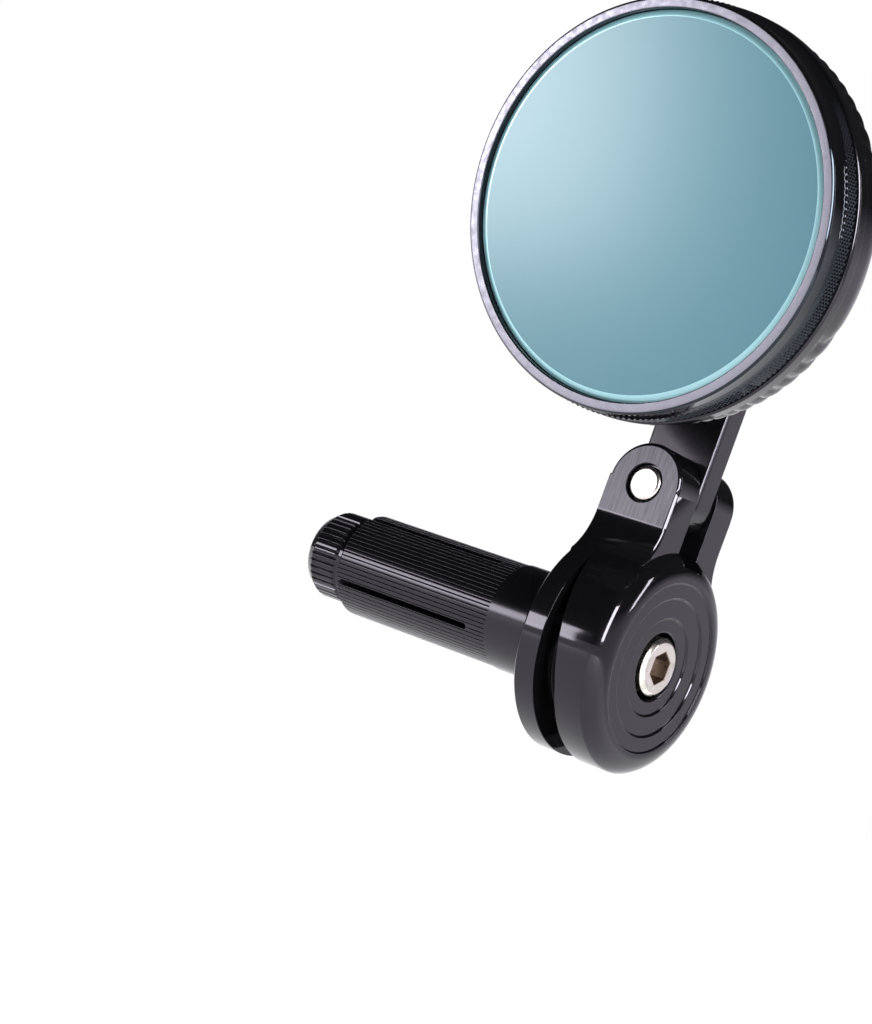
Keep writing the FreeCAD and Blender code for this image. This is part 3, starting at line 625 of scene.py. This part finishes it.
def build_fasteners():
    """The clamp bolt, with painted shade on the walls of its socket, and the pin that the arm folds
    on.
    """
    turned = bare_metal("turned stainless steel bolt", turned_lines("X"), "#d6cfc9", 0.26)
    # Painted shade: the socket's walls get a darker brown steel than the bolt, standing in for the
    # shade in the recess.
    socket = bare_metal("bolt socket steel with painted shade", turned_lines("X"), "#8d7d70", 0.32)
    bm = machined_copy("clamp_bolt")
    for face in bm.faces:
        middle = face.calc_center_median()
        in_hex = math.hypot(middle.y, middle.z) < SOCKET_HEX_R * MM
        # These socket walls take the darker steel, as painted shade for the recess.
        if middle.x > BOLT_HEAD_FROM_X * MM and in_hex and face.normal.x < SQUARE_ON:
            face.material_index = 1
    new_piece("socket_head_bolt", bm, [turned, socket], "bolt", "steel", "clamp_bolt")
    bright = bare_metal("ground stainless steel pin", turned_lines("Y"), "#d3c8c6", 0.24)
    new_piece("fold_pivot_pin", machined_copy("pivot_pin"), [bright], "base", "steel", "pivot_pin")


def build_plug():
    """What goes into the handlebar: the splined sleeve and the toothed nut that spreads it."""
    turned = black_anodised("black anodised splined aluminium sleeve", turned_lines("X"), 4.0,
                            roughness=0.17)
    new_piece("splined_expander_sleeve", machined_copy("expander_sleeve", edge=0.05 * MM),
              [turned], "plug", "black_anodised", "expander_sleeve")
    rim = black_anodised("black anodised toothed aluminium nut", turned_lines("X"), 4.0)
    new_piece("toothed_wedge_nut", machined_copy("wedge_nut", edge=0.06 * MM), [rim], "wedge",
              "black_anodised", "wedge_nut")


def dress_inner_parts():
    """Gives the pieces whose CAD shape stays their real finishes."""
    steel = bare_metal("turned stainless steel washer", turned_lines("X"), "#c9c3bd", 0.28)
    spring = bare_metal("rolled spring steel", drawn_lines((1.0, 0.1, 1.0)), "#8f8c8a", 0.3)
    plate = bare_metal("punched steel plate", drawn_lines((0.1, 1.0, 1.0)), "#b4b0ac", 0.35)
    bronze = bare_metal("turned bronze", turned_lines("Y"), "#b98a4e", 0.3)
    acetal = moulded("machined black acetal", "#1d1d1f", 0.4, 2.5, 0.004)
    carrier = black_anodised("black anodised sheet aluminium", drawn_lines((1.0, 1.0, 0.1)), 4.0)
    foam = moulded("closed cell foam tape", "#3b3d40", 0.85, 3.0, 0.05)
    rubber = moulded("moulded nitrile rubber", "#151515", 0.6, 4.0, 0.01, ior=1.52)
    finishes = {
        "bolt_lock_washer": steel, "bolt_flat_washer": steel, "disc_spring": spring,
        "retainer_plate": plate, "retainer_screws": steel, "pivot_bush": bronze,
        "pivot_washer_front": acetal, "pivot_washer_back": acetal, "ball_seat_front": acetal,
        "ball_seat_rear": acetal, "pressure_cup": acetal, "glass_carrier": carrier,
        "glass_pad": foam, "housing_gasket": rubber,
    }
    for node, material in finishes.items():
        for slot in NODES[node].material_slots:
            slot.material = material


# ---- studio

def build_floor():
    """White card, lit until it is paper white. The bar holds the object up, so the card lies
    below the whole swing of the head."""
    material, tree, shader = new_material("matt white card", Roughness=1.0,
                                          Specular_IOR_Level=0.0)
    fibre = add(tree, "ShaderNodeTexNoise", {"Vector": in_millimetres(tree), "Scale": 0.9})
    colour = add(tree, "ShaderNodeMix", {
        MIX_FIRST: linear("#f8f8f9"), MIX_SECOND: linear("#fdfdfd"),
        MIX_SHARE: fibre.outputs["Fac"]}, data_type="RGBA")
    tree.links.new(colour.outputs[MIX_RESULT], shader.inputs["Base Color"])
    bm = bmesh.new()
    bmesh.ops.create_grid(bm, x_segments=1, y_segments=1, size=FLOOR_REACH)
    bmesh.ops.translate(bm, verts=bm.verts, vec=(0, 0, -cad_box[1].z - FLOOR_BELOW))
    mesh = bpy.data.meshes.new("studio_floor")
    bm.to_mesh(mesh)
    bm.free()
    mesh.materials.append(material)
    floor = bpy.data.objects.new("studio_floor", mesh)
    bpy.context.scene.collection.objects.link(floor)


def softbox(name, direction, distance, size, power):
    """A rectangular soft light that faces the object from a direction."""
    light = bpy.data.lights.new(name, "AREA")
    light.shape = "RECTANGLE"
    light.size, light.size_y = size
    light.energy = power
    lamp = bpy.data.objects.new(name, light)
    out = Vector(direction).normalized()
    lamp.location = LIGHT_AIM + out * distance
    lamp.rotation_mode = "QUATERNION"
    lamp.rotation_quaternion = out.to_track_quat("Z", "Y")
    bpy.context.scene.collection.objects.link(lamp)


def build_lights():
    """A wide diffuser for the card, which gloss doesn't show, and softboxes for the gloss."""
    sun = bpy.data.lights.new("overhead_diffuser", "SUN")
    sun.energy = 3.6
    sun.angle = math.radians(150)
    lamp = bpy.data.objects.new("overhead_diffuser", sun)
    lamp.rotation_euler = (math.radians(12), math.radians(-14), 0)
    lamp.visible_glossy = False
    bpy.context.scene.collection.objects.link(lamp)
    softbox("front_softbox", direction=(-0.61, -0.80, 0.0), distance=0.8, size=(0.2, 0.16),
            power=1.4)
    softbox("rim_softbox", direction=(0.83, 0.36, 0.45), distance=0.9, size=(0.08, 0.42),
            power=2.4)
    softbox("edge_softbox", direction=(0.78, -0.53, 0.3), distance=0.9, size=(0.16, 0.5),
            power=9.0)


def build_world():
    """White behind the object. To its surfaces the room is bright at table height behind it,
    and dark above and in front, as in a light tent with an open top."""
    world = bpy.data.worlds.new("light tent")
    bpy.context.scene.world = world
    world.use_nodes = True
    tree = world.node_tree
    tree.nodes.clear()
    direction = add(tree, "ShaderNodeTexCoord").outputs["Generated"]
    height = add(tree, "ShaderNodeSeparateXYZ", {"Vector": direction}).outputs["Z"]
    low = add(tree, "ShaderNodeMapRange", {
        "Value": height, "From Min": 0.15, "From Max": 0.4, "To Min": 1.0, "To Max": 0.03})
    behind = add(tree, "ShaderNodeVectorMath", {0: direction, 1: ROOM_WALL_SIDE},
                 operation="DOT_PRODUCT")
    wall = add(tree, "ShaderNodeMapRange", {
        "Value": behind.outputs["Value"], "From Min": -0.4, "From Max": 0.3,
        "To Min": 0.05, "To Max": 1.1})
    glow = add(tree, "ShaderNodeMath", {0: low.outputs["Result"], 1: wall.outputs["Result"]},
               operation="MULTIPLY")
    room = add(tree, "ShaderNodeBackground", {"Color": (0.95, 0.92, 1.0, 1.0),
                                              "Strength": glow.outputs["Value"]})
    paper = add(tree, "ShaderNodeBackground", {"Color": (1, 1, 1, 1), "Strength": 1.0})
    seen = add(tree, "ShaderNodeLightPath").outputs["Is Camera Ray"]
    mix = add(tree, "ShaderNodeMixShader", {0: seen, 1: room.outputs["Background"],
                                            2: paper.outputs["Background"]})
    add(tree, "ShaderNodeOutputWorld", {"Surface": mix.outputs["Shader"]})


def build_camera():
    """The camera, and plain colours, so that white card and black metal keep their values."""
    camera = bpy.data.cameras.new("camera")
    camera.lens = CAMERA_LENS
    camera.clip_start = 0.01
    camera.clip_end = 20
    eye = bpy.data.objects.new("camera", camera)
    back = -CAMERA_TOWARD.normalized()
    right = CAMERA_UPRIGHT.cross(back).normalized()
    upright = back.cross(right)
    turn = Matrix((right, upright, back)).transposed().to_4x4()
    eye.matrix_world = Matrix.Translation(CAMERA_PLACE) @ turn
    bpy.context.scene.collection.objects.link(eye)
    bpy.context.scene.camera = eye
    bpy.context.scene.view_settings.view_transform = "Standard"


build_head()
build_base()
build_arm()
build_fasteners()
build_plug()
dress_inner_parts()
build_floor()
build_lights()
build_world()
build_camera()
